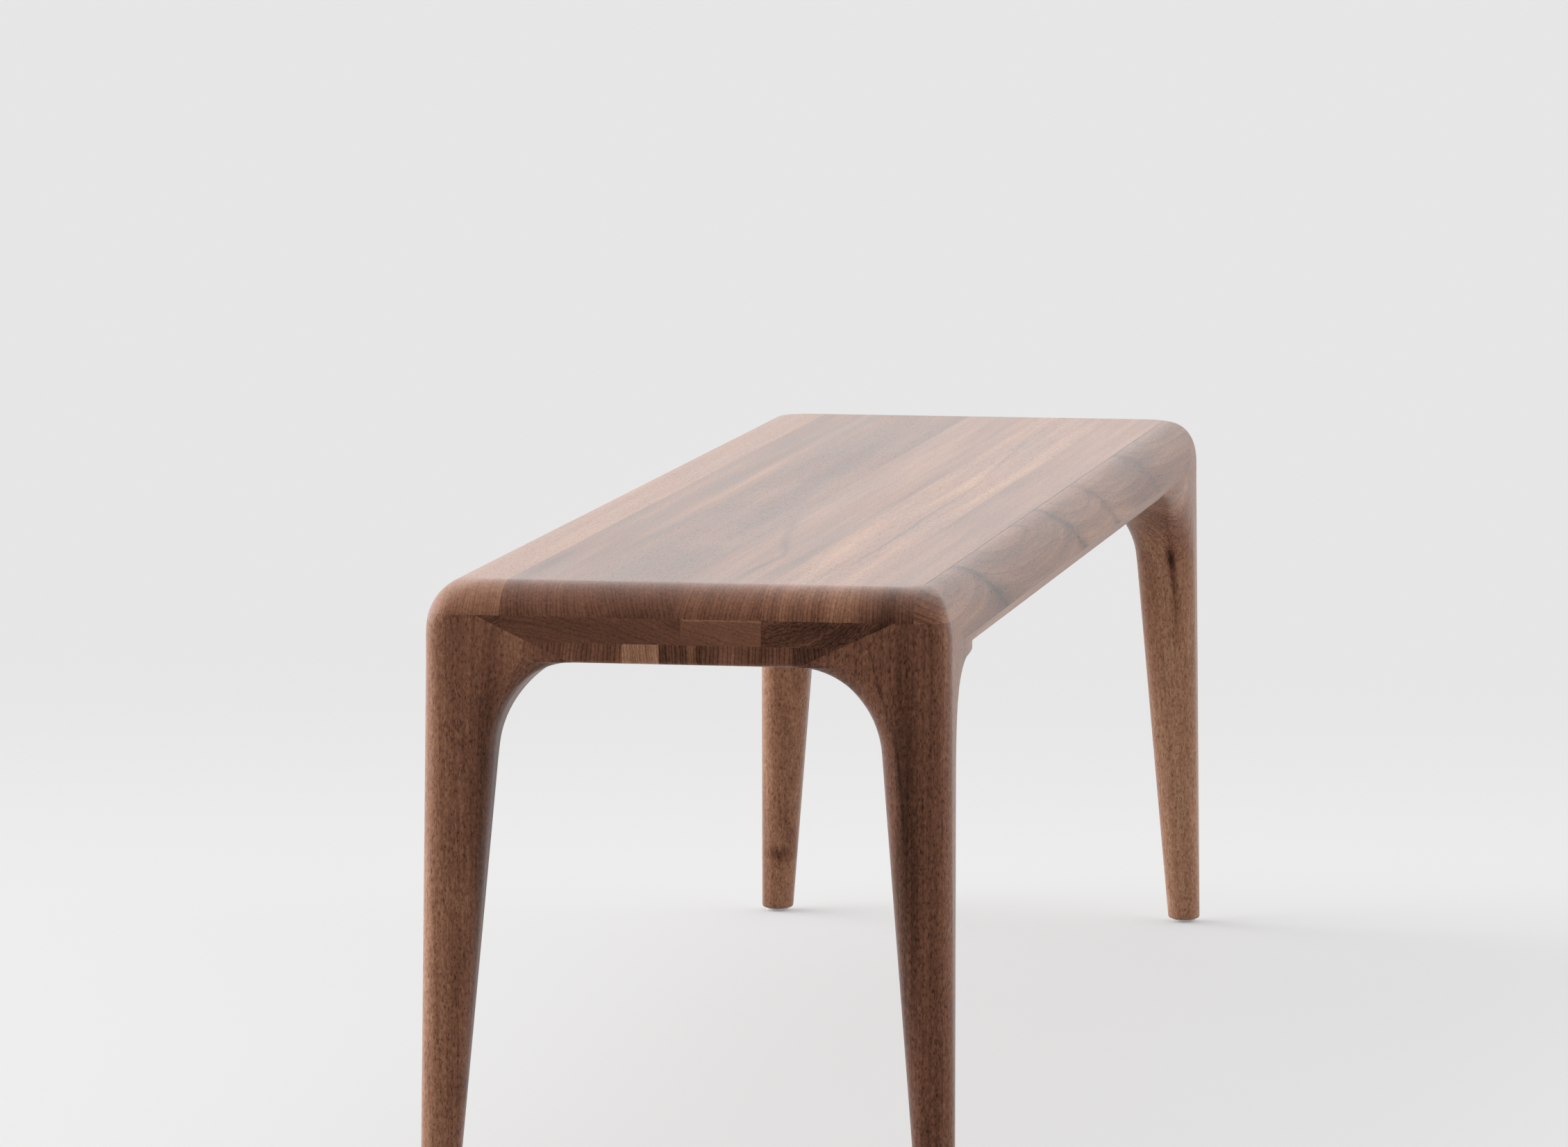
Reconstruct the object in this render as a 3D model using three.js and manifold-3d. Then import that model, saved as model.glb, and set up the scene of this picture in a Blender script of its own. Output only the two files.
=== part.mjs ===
// A sculpted solid-wood bench: a seat glued up from staves in three layers, four
// tapered legs glued into it on sloped shoulders, dowels, and a levelling glide
// screwed into a threaded insert in each foot.
//
// Frame: millimetres. X is the long way, +Y is the back, +Z is up, and the origin is
// on the floor under the middle of the bench.
// Near a corner, u is the distance in from the end of the seat and v is the distance
// in from its long side.

import * as THREE from 'three';
import { mergeVertices } from 'three/addons/utils/BufferGeometryUtils.js';
import { ParametricGeometry } from 'three/addons/geometries/ParametricGeometry.js';
import Module from 'manifold-3d';

const wasm = await Module();
wasm.setup();

// ---- Driving dimensions ----------------------------------------------------------

const SEAT_LENGTH = 1400;
const SEAT_WIDTH = 387;
const HEIGHT = 450;
const SPLAY = 4;                 // how far the feet stand out past the seat
const HALF_L = SEAT_LENGTH / 2;
const HALF_W = SEAT_WIDTH / 2;

// Seat section: three glued layers
const UNDERSIDE = 393.6;
const CORE_BASE = 408.3;         // bottom layer below, core layer above
const TOP_BASE = 427;            // core layer below, top layer above
const SIDE_ROUND = { reach: 27.5, drop: HEIGHT - CORE_BASE, power: 2.3 };  // long sides
const END_ROUND = { reach: 38, drop: 30, power: 2 };                       // both ends
const UNDER_BEVEL = 12.5;        // bottom layer's set-back under each long side
const APRON_ROUND = 4;           // small round under each end
const CORNER = 19;               // vertical corners of the seat and of the leg heads
const CORNER_TOP = 22;           // the seat's corners at its flat top

// Legs
const FOOT_WIDTH = 27.5;         // round foot
const HEAD_WIDTH = 56.5;         // width the taper reaches at the underside
const ARCH_LONG = { reach: 110, drop: 80 };  // fillet under a long side
const ARCH_END = { reach: 56, drop: 63 };    // fillet under an end
const FOOT_ROUND = 2.5;
const LEG_EDGE = 22;             // a leg's vertical edges along the arches, before they flare
const SHOULDER_FLAT = 40;        // flat part of a leg's head, from either face
const SHOULDER_END = 110;        // where the sloped shoulder meets the underside, v
const SHOULDER_LONG = 100;       // the same along u
const HEAD_GAP = 0.8;            // in plan, which leaves 0.3 square to the slopes
const SKIN = 0.02;               // a leg stops this far below the seat's flat underside

// Edges of the staves across the seat, from back to front
const TOP_LINES = [HALF_W, 136, 85, 7, -57, -120, -168];
const CORE_LINES = [HALF_W, 135, 2, -57, -168];
const UNDER_LINES = [HALF_W, 135, 45, 18, -14, -80, -168, -HALF_W];

// Dowels, two in each leg head
const DOWEL_R = 5;
const DOWEL_BORE_R = 5.15;
const DOWEL_BASE = 378;
const DOWEL_TOP = 440;
const DOWEL_PLACES = { a: [26, 54], b: [56, 18] };  // u, v

// Levelling glide and its insert
const FOOT_BASE = 3;             // underside of the wooden foot
const PAD_R = 10;
const PAD_TOP = 2.8;
const HUB_R = 7;
const HUB_TOP = 6.2;
const POCKET_R = 8.5;            // counterbore in the foot
const POCKET_TOP = 12;
const STUD_R = 2.9;
const STUD_TOP = 34;
const STUD_HEAD_R = 4;
const STUD_HEAD = [1.4, 3.8];    // the head's underside and top, held in the pad
const NUT_R = 5.4;               // hexagon, over its corners
const NUT = [6.6, 10];
const INSERT_R = 5;
const INSERT_BORE_R = 3;
const INSERT_TOP = 27;
const STUD_BORE_TOP = 38;
const FOOT_CENTRE = FOOT_WIDTH / 2 - SPLAY;  // u and v of a foot's middle

const LEGS = {
  front_left: [-1, -1],
  back_left: [-1, 1],
  front_right: [1, -1],
  back_right: [1, 1],
};

// ---- Materials -------------------------------------------------------------------

const walnut = (color) => new THREE.MeshStandardMaterial({ color, roughness: 0.55, metalness: 0 });
const LIGHT = 0xa07a5c;
const MID = 0x855f48;
const DARK = 0x69493a;
const DEEP = 0x523629;
const dowelWood = new THREE.MeshStandardMaterial({ color: 0xc9a77c, roughness: 0.7, metalness: 0 });
const brass = new THREE.MeshStandardMaterial({ color: 0xb5964f, roughness: 0.35, metalness: 1 });
const steel = new THREE.MeshStandardMaterial({ color: 0xb9bcc0, roughness: 0.3, metalness: 1 });
const nylon = new THREE.MeshStandardMaterial({ color: 0xd4d1cb, roughness: 0.6, metalness: 0 });

// ---- Solids ----------------------------------------------------------------------

// A closed geometry as a solid that can be joined and cut.
function solid(geometry) {
  geometry.deleteAttribute('normal');
  geometry.deleteAttribute('uv');
  const merged = mergeVertices(geometry, 1e-4);
  const corners = merged.index.array;
  const triangles = [];
  for (let i = 0; i < corners.length; i += 3) {
    const [a, b, c] = corners.subarray(i, i + 3);
    if (a !== b && b !== c && c !== a) triangles.push(a, b, c);
  }
  return new wasm.Manifold(new wasm.Mesh({
    numProp: 3,
    vertProperties: merged.attributes.position.array,
    triVerts: new Uint32Array(triangles),
  }));
}

// A solid as a named mesh. Cuts along a shared face can leave slivers, so the mesh is
// the largest body of what it is given.
function part(name, cut, material) {
  const body = cut.decompose().reduce((best, b) => (b.volume() > best.volume() ? b : best));
  const { vertProperties, triVerts } = body.getMesh();
  const geometry = new THREE.BufferGeometry();
  geometry.setAttribute('position', new THREE.BufferAttribute(vertProperties, 3));
  geometry.setIndex(new THREE.BufferAttribute(triVerts, 1));
  const mesh = new THREE.Mesh(geometry, material);
  mesh.name = name;
  return mesh;
}

// A stack of closed rings, skinned and capped. ringAt(i) gives ring i as points.
function loft(ringCount, ringAt) {
  const rings = Array.from({ length: ringCount }, (_, i) => ringAt(i));
  const around = rings[0].length;
  const capCentre = (ring) => ring
    .reduce((sum, p) => sum.add(p), new THREE.Vector3())
    .divideScalar(around);
  const stacks = ringCount + 1;
  const surface = (s, t, target) => {
    const level = Math.round(t * stacks);
    if (level === 0) return target.copy(capCentre(rings[0]));
    if (level === stacks) return target.copy(capCentre(rings[ringCount - 1]));
    return target.copy(rings[level - 1][Math.round(s * around) % around]);
  };
  return solid(new ParametricGeometry(surface, around, stacks));
}

function box(x, y, z) {
  const geometry = new THREE.BoxGeometry(x[1] - x[0], y[1] - y[0], z[1] - z[0]);
  geometry.translate((x[0] + x[1]) / 2, (y[0] + y[1]) / 2, (z[0] + z[1]) / 2);
  return solid(geometry);
}

// A round bar along Z, or a hexagonal one with six sides.
function bar(radius, [low, high], sides = 24) {
  const geometry = new THREE.CylinderGeometry(radius, radius, high - low, sides);
  geometry.rotateX(Math.PI / 2);
  geometry.translate(0, 0, (low + high) / 2);
  return solid(geometry);
}

// How far a round has come in after climbing a fraction of its height. Power 2 is an
// ellipse, more is squarer, and less is flatter.
const roundIn = (reach, climbed, power = 2) => {
  const f = THREE.MathUtils.clamp(climbed, 0, 1);
  return reach * (1 - (1 - f ** power) ** (1 / power));
};

// Heights that step a round by equal angles, without its lower end.
const roundSteps = (low, high, count) => Array.from(
  { length: count },
  (_, i) => low + (high - low) * Math.sin((i + 1) / count * Math.PI / 2),
);

// ---- The seat's sculpted outside ----------------------------------------------------

const SEAT_LEVELS = [
  UNDERSIDE,
  UNDERSIDE + APRON_ROUND * 0.3,
  UNDERSIDE + APRON_ROUND,
  CORE_BASE,
  ...roundSteps(CORE_BASE, HEIGHT, 10),
];

function seatInset(z) {
  const climbed = (z - CORE_BASE) / SIDE_ROUND.drop;
  const side = z < CORE_BASE
    ? UNDER_BEVEL * (CORE_BASE - z) / (CORE_BASE - UNDERSIDE)
    : roundIn(SIDE_ROUND.reach, climbed, SIDE_ROUND.power);
  const under = roundIn(APRON_ROUND, (UNDERSIDE + APRON_ROUND - z) / APRON_ROUND);
  const rolled = (z - HEIGHT + END_ROUND.drop) / END_ROUND.drop;
  const end = under + roundIn(END_ROUND.reach, rolled, END_ROUND.power);
  return { side, end, climbed };
}

// Outline of the seat at one height: a rectangle with round corners.
function seatRing(z) {
  const { side, end, climbed } = seatInset(z);
  const radius = CORNER + (CORNER_TOP - CORNER) * roundIn(1, climbed);
  const centre = [HALF_L - end - radius, HALF_W - side - radius];
  const steps = 6;
  const points = [];
  for (let quarter = 0; quarter < 4; quarter += 1) {
    const signX = quarter === 0 || quarter === 3 ? 1 : -1;
    const signY = quarter < 2 ? 1 : -1;
    for (let i = 0; i <= steps; i += 1) {
      const angle = (quarter + i / steps) * Math.PI / 2;
      points.push(new THREE.Vector3(
        signX * centre[0] + radius * Math.cos(angle),
        signY * centre[1] + radius * Math.sin(angle),
        z,
      ));
    }
  }
  return points;
}

const seatForm = loft(SEAT_LEVELS.length, (i) => seatRing(SEAT_LEVELS[i]));

// ---- A leg's sculpted outside ------------------------------------------------------

const LEG_LEVELS = [
  FOOT_BASE,
  FOOT_BASE + FOOT_ROUND * 0.35,
  FOOT_BASE + FOOT_ROUND,
  120,
  UNDERSIDE - ARCH_LONG.drop,
  ...roundSteps(UNDERSIDE - ARCH_LONG.drop, UNDERSIDE, 10),
  CORE_BASE,
];

const flare = (arch, z) => roundIn(arch.reach, (z - UNDERSIDE + arch.drop) / arch.drop);

// Section of a leg in u and v: a square with elliptical corners, which is a circle at
// the foot and flares into both arches at the top.
function legSection(height) {
  const z = Math.min(height, UNDERSIDE);
  const up = z / UNDERSIDE;
  const outside = -SPLAY * (1 - up);
  const width = FOOT_WIDTH + (HEAD_WIDTH - FOOT_WIDTH) * up;
  const flareU = flare(ARCH_LONG, z);
  const flareV = flare(ARCH_END, z);
  const insideU = outside + width + flareU;
  const insideV = outside + width + flareV;
  const corner = THREE.MathUtils.lerp(FOOT_WIDTH / 2, CORNER, up);
  const edge = THREE.MathUtils.lerp(FOOT_WIDTH / 2, LEG_EDGE, up);
  const atSide = THREE.MathUtils.lerp(edge, UNDER_BEVEL, flareU / ARCH_LONG.reach);
  const atEnd = THREE.MathUtils.lerp(edge, APRON_ROUND, flareV / ARCH_END.reach);
  const tuck = roundIn(FOOT_ROUND, (FOOT_BASE + FOOT_ROUND - z) / FOOT_ROUND);

  // Each corner: its point, its reach along u and along v
  const corners = [
    [outside, outside, corner, corner],
    [insideU, outside, edge + 0.95 * flareU, atSide],
    [insideU, insideV, edge + 0.5 * flareU, edge + 0.5 * flareV],
    [outside, insideV, atEnd, edge + 0.9 * flareV],
  ];
  const steps = 6;
  return corners.flatMap(([u, v, reachU, reachV], which) => {
    const towardU = u === outside ? 1 : -1;
    const towardV = v === outside ? 1 : -1;
    const turnsToU = which % 2 === 0;
    return Array.from({ length: steps + 1 }, (_, i) => {
      const angle = (turnsToU ? steps - i : i) / steps * Math.PI / 2;
      const pu = u + towardU * (reachU - tuck) * (1 - Math.sin(angle)) + towardU * tuck;
      const pv = v + towardV * (reachV - tuck) * (1 - Math.cos(angle)) + towardV * tuck;
      return [pu, pv];
    });
  });
}

// Turns u, v at one corner of the bench into X and Y there.
const place = ([signX, signY], u, v) => [signX * (HALF_L - u), signY * (HALF_W - v)];

function legForm(signs) {
  const turned = signs[0] * signs[1] < 0;
  return loft(LEG_LEVELS.length, (i) => {
    const z = LEG_LEVELS[i];
    const ring = legSection(z).map(([u, v]) => new THREE.Vector3(...place(signs, u, v), z));
    return turned ? ring.reverse() : ring;
  });
}

// The space that holds one leg: all of it below the seat, up to belowSeat, and its head,
// which slopes down from its flat top as it leaves each outer face. grow widens the
// head, for the recess that the head is glued into.
function legSpace([signX, signY], belowSeat, grow) {
  const clear = 20;                          // past the outer faces
  const reach = 200;                         // past the end of either arch
  const slopeFrom = (end) => {
    const outline = new THREE.Shape([
      new THREE.Vector2(-clear, 0),
      new THREE.Vector2(reach, 0),
      new THREE.Vector2(reach, belowSeat),
      new THREE.Vector2(end + grow, belowSeat),
      new THREE.Vector2(SHOULDER_FLAT + grow, TOP_BASE),
      new THREE.Vector2(-clear, TOP_BASE),
    ]);
    const geometry = new THREE.ExtrudeGeometry(outline, { depth: reach + clear, bevelEnabled: false });
    geometry.rotateX(Math.PI / 2);
    return geometry;
  };
  const alongU = slopeFrom(SHOULDER_LONG).translate(0, reach, 0);
  const alongV = slopeFrom(SHOULDER_END).rotateZ(Math.PI / 2).translate(-clear, 0, 0);
  return solid(alongU).intersect(solid(alongV))
    .scale([-signX, -signY, 1])
    .translate([signX * HALF_L, signY * HALF_W, 0]);
}

const legSigns = Object.values(LEGS);
const benchForm = legSigns.reduce((form, signs) => form.add(legForm(signs)), seatForm);

// ---- Bores -------------------------------------------------------------------------

const at = (signs, [u, v], body) => body.translate([...place(signs, u, v), 0]);
const dowelBores = legSigns.flatMap((signs) => Object.values(DOWEL_PLACES)
  .map((spot) => at(signs, spot, bar(DOWEL_BORE_R, [DOWEL_BASE - 0.5, DOWEL_TOP + 0.5]))))
  .reduce((all, bore) => all.add(bore));

const footBore = bar(POCKET_R, [-1, POCKET_TOP])
  .add(bar(INSERT_R + 0.1, [-1, INSERT_TOP + 0.5]))
  .add(bar(STUD_R + 1, [-1, STUD_BORE_TOP]));

// ---- Assembly ----------------------------------------------------------------------

const bench = new THREE.Group();

// Wood of the seat, and the same with a recess for each leg's head.
const seatWood = benchForm.subtract(dowelBores);
const recessedWood = legSigns
  .map((signs) => legSpace(signs, UNDERSIDE, HEAD_GAP))
  .reduce((wood, recess) => wood.subtract(recess), seatWood);

// Cuts one stave out of the sculpted form, between two lines and two heights.
function stave(name, wood, [back, front], [low, high], color) {
  const length = [-HALF_L - 10, HALF_L + 10];
  bench.add(part(name, wood.intersect(box(length, [front, back], [low, high])), walnut(color)));
}

function staves(layer, wood, lines, heights, colors) {
  colors.forEach((color, i) => {
    stave(`${layer}_stave_${i + 1}`, wood, [lines[i], lines[i + 1]], heights, color);
  });
}

staves('top', seatWood, TOP_LINES, [TOP_BASE, HEIGHT + 1], [LIGHT, MID, DARK, MID, LIGHT, LIGHT]);
staves('core', recessedWood, CORE_LINES, [CORE_BASE, TOP_BASE], [DEEP, MID, MID, DEEP]);
staves('under', recessedWood, UNDER_LINES, [UNDERSIDE - 1, CORE_BASE],
  [DARK, MID, LIGHT, DEEP, MID, DARK, LIGHT]);
stave('front_edge_stave', recessedWood, [TOP_LINES[6], -HALF_W - 1], [CORE_BASE, HEIGHT + 1], DARK);

for (const [corner, signs] of Object.entries(LEGS)) {
  const foot = place(signs, FOOT_CENTRE, FOOT_CENTRE);
  const leg = benchForm
    .intersect(legSpace(signs, UNDERSIDE - SKIN, 0))
    .subtract(dowelBores)
    .subtract(footBore.translate([...foot, 0]));
  bench.add(part(`leg_${corner}`, leg, walnut(MID)));

  for (const [key, spot] of Object.entries(DOWEL_PLACES)) {
    const dowel = at(signs, spot, bar(DOWEL_R, [DOWEL_BASE, DOWEL_TOP]));
    bench.add(part(`dowel_${key}_${corner}`, dowel, dowelWood));
  }

  const insert = bar(INSERT_R, [POCKET_TOP, INSERT_TOP]).subtract(bar(INSERT_BORE_R, [0, INSERT_TOP + 1]));
  bench.add(part(`insert_${corner}`, insert.translate([...foot, 0]), brass));

  const stud = bar(STUD_HEAD_R, STUD_HEAD)
    .add(bar(STUD_R, [STUD_HEAD[0] + 1, STUD_TOP]))
    .add(bar(NUT_R, NUT, 6));
  bench.add(part(`glide_stud_${corner}`, stud.translate([...foot, 0]), steel));

  const pad = bar(PAD_R, [0, PAD_TOP], 32)
    .add(bar(HUB_R, [0.5, HUB_TOP]))
    .subtract(bar(STUD_HEAD_R + 0.15, [STUD_HEAD[0] - 0.2, STUD_HEAD[1] + 0.2]))
    .subtract(bar(STUD_R + 0.1, [STUD_HEAD[1], HUB_TOP + 1]));
  bench.add(part(`glide_pad_${corner}`, pad.translate([...foot, 0]), nylon));
}

export default bench;
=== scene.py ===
"""Looks of a sculpted solid-walnut bench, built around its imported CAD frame.

Metres. X is the long way, +Y the back, +Z up, and the floor is z = 0. Near a corner of
the bench, u is the distance in from the end of the seat and v the distance in from its
long side.
"""

import math

import bmesh
import bpy
import numpy as np
import mathutils.geometry
import mathutils.interpolate
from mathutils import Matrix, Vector
from mathutils.bvhtree import BVHTree


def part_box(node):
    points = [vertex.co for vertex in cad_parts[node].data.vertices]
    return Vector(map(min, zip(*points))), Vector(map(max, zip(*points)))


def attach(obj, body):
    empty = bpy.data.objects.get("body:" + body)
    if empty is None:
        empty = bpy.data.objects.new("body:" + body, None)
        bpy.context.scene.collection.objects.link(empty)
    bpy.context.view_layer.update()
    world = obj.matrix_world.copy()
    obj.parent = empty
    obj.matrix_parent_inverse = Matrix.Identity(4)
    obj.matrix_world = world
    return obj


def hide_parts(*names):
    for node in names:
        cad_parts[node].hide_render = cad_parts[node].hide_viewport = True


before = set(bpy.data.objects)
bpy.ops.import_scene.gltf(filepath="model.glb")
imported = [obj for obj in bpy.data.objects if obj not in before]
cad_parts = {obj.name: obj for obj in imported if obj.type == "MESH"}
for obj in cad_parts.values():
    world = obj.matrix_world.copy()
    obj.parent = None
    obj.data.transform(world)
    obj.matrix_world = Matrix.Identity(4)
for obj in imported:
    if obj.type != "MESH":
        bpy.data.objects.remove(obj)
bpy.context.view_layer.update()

MM = 0.001


def mm(*values):
    return [value * MM for value in values]


# ---- Sizes, from the frame --------------------------------------------------------------

core_low, core_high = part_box("core_stave_2")
under_low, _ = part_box("under_stave_3")
top_low, top_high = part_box("top_stave_3")
edge_low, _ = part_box("front_edge_stave")
leg_low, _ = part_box("leg_front_left")

HALF_L = core_high[0]
HALF_W = -edge_low[1]
UNDERSIDE = under_low[2]
CORE_BASE = core_low[2]
TOP_BASE = top_low[2]
HEIGHT = top_high[2]
FOOT_BASE = leg_low[2]

# Sculpted form
SPLAY = 4 * MM
SIDE_REACH, SIDE_POWER = 27.5 * MM, 2.3
END_REACH, END_DROP, END_POWER = 38 * MM, 30 * MM, 2.0
UNDER_BEVEL = 12.5 * MM
APRON_ROUND = 4 * MM
CORNER, CORNER_TOP = mm(19, 22)
LEG_EDGE = 22 * MM                    # a leg's vertical edges along the arches
FOOT_WIDTH, HEAD_WIDTH = mm(27.5, 56.5)
ARCH_LONG = (110 * MM, 80 * MM)       # reach along the side, drop
ARCH_END = (56 * MM, 63 * MM)
FOOT_ROUND = 2.5 * MM
SHOULDER_FLAT = 40 * MM
SHOULDER_END, SHOULDER_LONG = mm(110, 100)
ARRIS_EASE = 0.7 * MM                 # half height of the eased arris along a side

CORNERS = {
    "front_left": (-1, -1),
    "back_left": (-1, 1),
    "front_right": (1, -1),
    "back_right": (1, 1),
}


def node_centre(node):
    low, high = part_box(node)
    return (low[0] + high[0]) / 2, (low[1] + high[1]) / 2


def foot_centre(corner):
    return node_centre(f"glide_pad_{corner}")


# ---- Mesh helpers -----------------------------------------------------------------------

def place_object(name, data):
    obj = bpy.data.objects.new(name, data)
    bpy.context.scene.collection.objects.link(obj)
    return obj


def new_object(name, vertices, faces):
    mesh = bpy.data.meshes.new(name)
    mesh.from_pydata([tuple(v) for v in vertices], [], [tuple(f) for f in faces])
    mesh.validate()
    return place_object(name, mesh)


def remove_object(obj):
    mesh = obj.data
    bpy.data.objects.remove(obj)
    bpy.data.meshes.remove(mesh)


def copy_object(source, name):
    return place_object(name, source.data.copy())


def carve(obj, cutter, operation):
    """Joins, cuts or intersects obj with a cutter, for good."""
    modifier = obj.modifiers.new("carve", "BOOLEAN")
    modifier.operation = operation
    modifier.object = cutter
    modifier.solver = "MANIFOLD"
    depsgraph = bpy.context.evaluated_depsgraph_get()
    carved = bpy.data.meshes.new_from_object(obj.evaluated_get(depsgraph))
    obj.modifiers.clear()
    spent, obj.data = obj.data, carved
    bpy.data.meshes.remove(spent)


def prism(name, outline, low, high, axes):
    """A closed prism: a flat outline in two axes, carried from low to high along the third."""
    a, b, c = axes
    vertices = []
    for end in (low, high):
        for p, q in outline:
            point = [0.0, 0.0, 0.0]
            point[a], point[b], point[c] = p, q, end
            vertices.append(point)
    n = len(outline)
    faces = [tuple(range(n - 1, -1, -1)), tuple(range(n, 2 * n))]
    faces += [(i, (i + 1) % n, n + (i + 1) % n, n + i) for i in range(n)]
    obj = new_object(name, vertices, faces)
    fix_normals(obj)
    return obj


def fix_normals(obj):
    bm = bmesh.new()
    bm.from_mesh(obj.data)
    bmesh.ops.recalc_face_normals(bm, faces=bm.faces)
    bm.to_mesh(obj.data)
    bm.free()


def lathe(name, profile, steps, centre, radius_at=None):
    """A closed solid turned about a vertical axis. The profile runs from axis to axis, as
    radius and height. radius_at may change a radius by angle and height."""
    vertices, rings = [], []
    for r, z in profile:
        if r == 0:
            rings.append([len(vertices)])
            vertices.append((centre[0], centre[1], z))
            continue
        ring = []
        for i in range(steps):
            angle = 2 * math.pi * i / steps
            radius = radius_at(r, z, angle) if radius_at else r
            ring.append(len(vertices))
            vertices.append((
                centre[0] + radius * math.cos(angle),
                centre[1] + radius * math.sin(angle),
                z,
            ))
        rings.append(ring)
    faces = []
    pairs = list(zip(rings, rings[1:]))
    if len(rings[0]) > 1:
        pairs.append((rings[-1], rings[0]))
    for low, high in pairs:
        for i in range(steps):
            j = (i + 1) % steps
            if len(low) == 1:
                faces.append((low[0], high[j], high[i]))
            elif len(high) == 1:
                faces.append((low[i], low[j], high[0]))
            else:
                faces.append((low[i], low[j], high[j], high[i]))
    obj = new_object(name, vertices, faces)
    fix_normals(obj)
    return obj


def smooth_by_angle(obj, degrees):
    mesh = obj.data
    mesh.shade_smooth()
    mesh.set_sharp_from_angle(angle=math.radians(degrees))


# ---- The sculpted form ------------------------------------------------------------------

def round_in(reach, climbed, power=2.0):
    """How far a round has come in after climbing a fraction of its height."""
    f = np.clip(climbed, 0.0, 1.0)
    return reach * (1 - (1 - f ** power) ** (1 / power))


def lerp(a, b, t):
    return a + (b - a) * t


def side_inset(z):
    """Set-back of a long side at a height: the bevel below the arris, the round above."""
    bevel = UNDER_BEVEL * (CORE_BASE - z) / (CORE_BASE - UNDERSIDE)
    over = round_in(SIDE_REACH, (z - CORE_BASE) / (HEIGHT - CORE_BASE), SIDE_POWER)
    return np.where(z < CORE_BASE, bevel, over)


def eased_side_inset(z):
    """The same, with the arris rounded over."""
    if abs(z - CORE_BASE) > ARRIS_EASE:
        return float(side_inset(z))
    heights = np.linspace(z - ARRIS_EASE, z + ARRIS_EASE, 15)
    return float(np.mean(side_inset(heights)))


def end_inset(z):
    under = round_in(APRON_ROUND, (UNDERSIDE + APRON_ROUND - z) / APRON_ROUND)
    over = round_in(END_REACH, (z - HEIGHT + END_DROP) / END_DROP, END_POWER)
    return float(under + over)


def flare(arch, z):
    reach, drop = arch
    return float(round_in(reach, (z - UNDERSIDE + drop) / drop))


# Steps along the four corners of a leg's outline, and along the edge that follows each.
ARC_STEPS = {"end": 18, "outer": 14, "side": 30, "inner": 26}
EDGE_STEPS = {"end": 10, "outer": 10, "side": 9, "inner": 9}
END_STEPS, LONG_STEPS = 14, 26        # from a leg to the middle of an end, and of a side
LEG_STATIONS = sum(ARC_STEPS.values()) + sum(EDGE_STEPS.values())


def leg_outline(z, finer=1):
    """A leg's section in u and v as a closed list of points. It starts on the end face at
    the arch, passes the outer corner, runs along the long side, and returns inside."""
    up = z / UNDERSIDE
    outside = -SPLAY * (1 - up)
    width = lerp(FOOT_WIDTH, HEAD_WIDTH, up)
    flare_u, flare_v = flare(ARCH_LONG, z), flare(ARCH_END, z)
    inside_u, inside_v = outside + width + flare_u, outside + width + flare_v
    corner = lerp(FOOT_WIDTH / 2, CORNER, up)
    edge = lerp(FOOT_WIDTH / 2, LEG_EDGE, up)
    at_side = lerp(edge, UNDER_BEVEL, flare_u / ARCH_LONG[0])
    at_end = lerp(edge, APRON_ROUND, flare_v / ARCH_END[0])
    tuck = float(round_in(FOOT_ROUND, (FOOT_BASE + FOOT_ROUND - z) / FOOT_ROUND))
    corners = [
        ("end", outside, inside_v, at_end, edge + 0.9 * flare_v),
        ("outer", outside, outside, corner, corner),
        ("side", inside_u, outside, edge + 0.95 * flare_u, at_side),
        ("inner", inside_u, inside_v, edge + 0.5 * flare_u, edge + 0.5 * flare_v),
    ]
    arcs = []
    for name, u, v, reach_u, reach_v in corners:
        toward_u = 1 if u == outside else -1
        toward_v = 1 if v == outside else -1
        angles = np.linspace(0, math.pi / 2, ARC_STEPS[name] * finer + 1)
        if name in ("outer", "inner"):
            angles = angles[::-1]
        pu = u + toward_u * ((reach_u - tuck) * (1 - np.sin(angles)) + tuck)
        pv = v + toward_v * ((reach_v - tuck) * (1 - np.cos(angles)) + tuck)
        arcs.append((name, np.stack([pu, pv], axis=1)))
    stretches = []
    for (name, arc), (_, following) in zip(arcs, arcs[1:] + arcs[:1]):
        steps = EDGE_STEPS[name] * finer
        straight = np.linspace(arc[-1], following[0], steps + 1)
        stretches += [arc[:-1], straight[:-1]]
    return np.concatenate(stretches)


def corner_middles(finer=1):
    """Where the middle of each corner's arc falls in a leg's outline."""
    middles, start = [], 0
    for name, steps in ARC_STEPS.items():
        middles.append((start + steps // 2) * finer)
        start += steps + EDGE_STEPS[name]
    return middles


def along(points):
    """Distance run along a list of points, as a fraction of its whole length."""
    run = np.concatenate([[0], np.cumsum(np.linalg.norm(np.diff(points, axis=0), axis=1))])
    return run / run[-1]


def leg_ring(z):
    """A leg's outline at a height, with the same number of stations spread the same way
    between the middles of its corners as at the underside."""
    finer = 8
    model, outline = leg_outline(UNDERSIDE), leg_outline(z, finer)
    marks, fine_marks = corner_middles(), corner_middles(finer)
    ring = np.zeros((LEG_STATIONS, 2))
    for k in range(4):
        start, fine_start = marks[k], fine_marks[k]
        wrap = k == 3
        stop = marks[0] + LEG_STATIONS if wrap else marks[k + 1]
        fine_stop = fine_marks[0] + LEG_STATIONS * finer if wrap else fine_marks[k + 1]
        stations = np.arange(start, stop + 1) % LEG_STATIONS
        fine = np.arange(fine_start, fine_stop + 1) % (LEG_STATIONS * finer)
        want, have = along(model[stations]), along(outline[fine])
        for axis in (0, 1):
            ring[stations, axis] = np.interp(want, have, outline[fine, axis])
    return ring


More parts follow.
